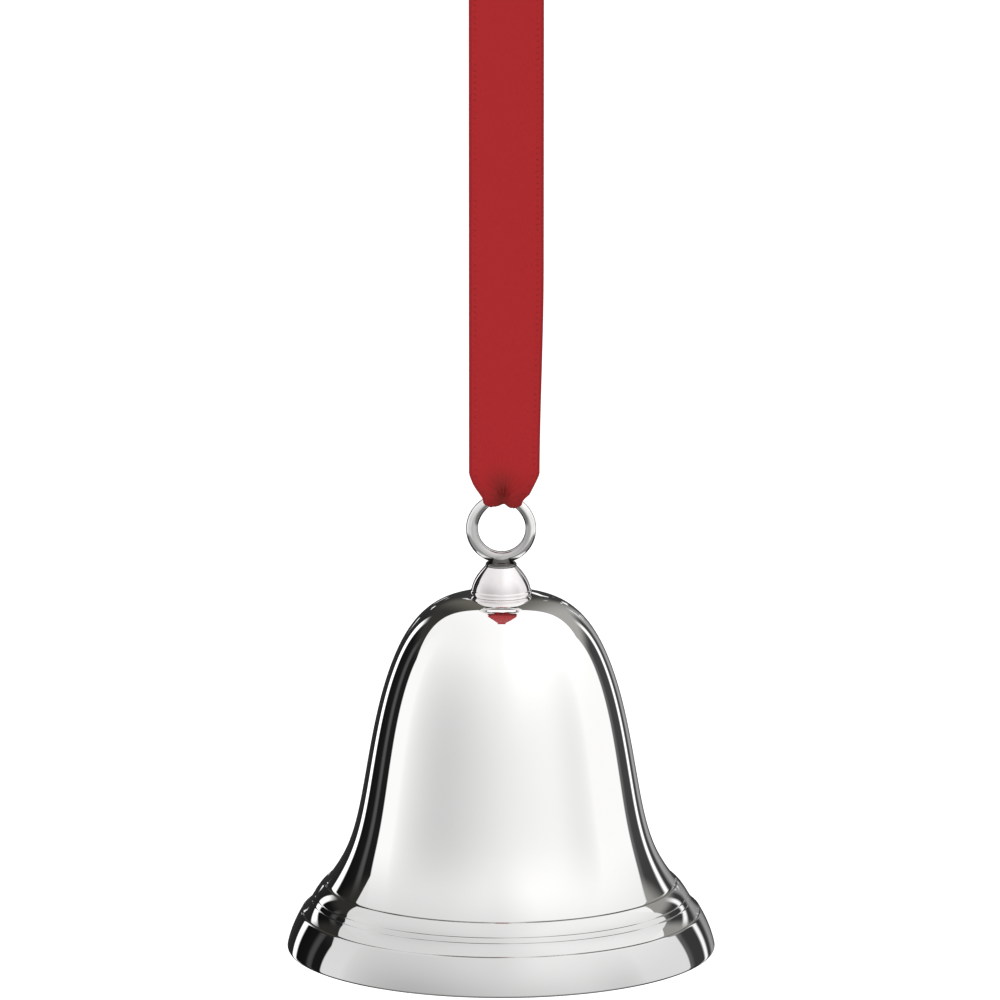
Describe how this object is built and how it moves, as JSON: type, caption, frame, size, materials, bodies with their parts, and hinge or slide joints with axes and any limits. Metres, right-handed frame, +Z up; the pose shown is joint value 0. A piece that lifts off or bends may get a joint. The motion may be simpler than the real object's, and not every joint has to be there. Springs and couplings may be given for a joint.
{
  "type": "christmas bell ornament",
  "caption": "Polished metal bell with a flared, moulded lip, a domed knob and a cast ring, hung on a loop of satin ribbon, with a swinging clapper inside.",
  "frame": {"origin": "the point under the top of the ribbon loop where a hook carries the ornament", "axes": "+Z up along the bell's axis, +X across the ribbon's width in the plane of the hanging ring, +Y from front to back through the ring"},
  "size_m": [0.0582, 0.0582, 0.1482],
  "materials": {
    "silver": "mirror-polished silver plate",
    "steel": "turned and lightly brushed",
    "ribbon": "single-face satin with woven edges",
    "thread": "twisted sewing thread"
  },
  "bodies": {
    "ribbon_loop": {"ribbon_top_loop": "ribbon", "ribbon_stitching": "thread"},
    "ribbon_strands": {"ribbon_front_strand": "ribbon", "ribbon_back_strand": "ribbon"},
    "ribbon_fold": {"ribbon_bight": "ribbon"},
    "bell": {"hanging_ring": "silver", "crown_knob": "silver", "bell_shell": "silver", "crown_washer": "steel", "lock_nut": "steel", "clapper_eye": "silver"},
    "jump_ring": {"jump_ring": "silver"},
    "clapper": {"clapper_stem": "silver", "clapper_ball": "silver"}
  },
  "joints": [
    {"name": "ribbon_twist", "type": "hinge", "parent": "ribbon_loop", "child": "ribbon_strands", "pos_m": [0, 0, -0.01555], "axis": [0, 0, 1], "range_deg": [-90, 90]},
    {"name": "bell_tip", "type": "hinge", "parent": "ribbon_strands", "child": "ribbon_fold", "pos_m": [0, 0, -0.08552], "axis": [1, 0, 0], "range_deg": [-90, 90]},
    {"name": "bell_swing", "type": "hinge", "parent": "ribbon_fold", "child": "bell", "pos_m": [0, 0, -0.08952], "axis": [0, 1, 0], "range_deg": [-90, 90]},
    {"name": "jump_ring_swing", "type": "hinge", "parent": "bell", "child": "jump_ring", "pos_m": [0, 0, -0.1078], "axis": [1, 0, 0], "range_deg": [-22, 22]},
    {"name": "clapper_swing", "type": "hinge", "parent": "jump_ring", "child": "clapper", "pos_m": [0, 0, -0.10995], "axis": [0, 1, 0], "range_deg": [-22, 22]}
  ]
}
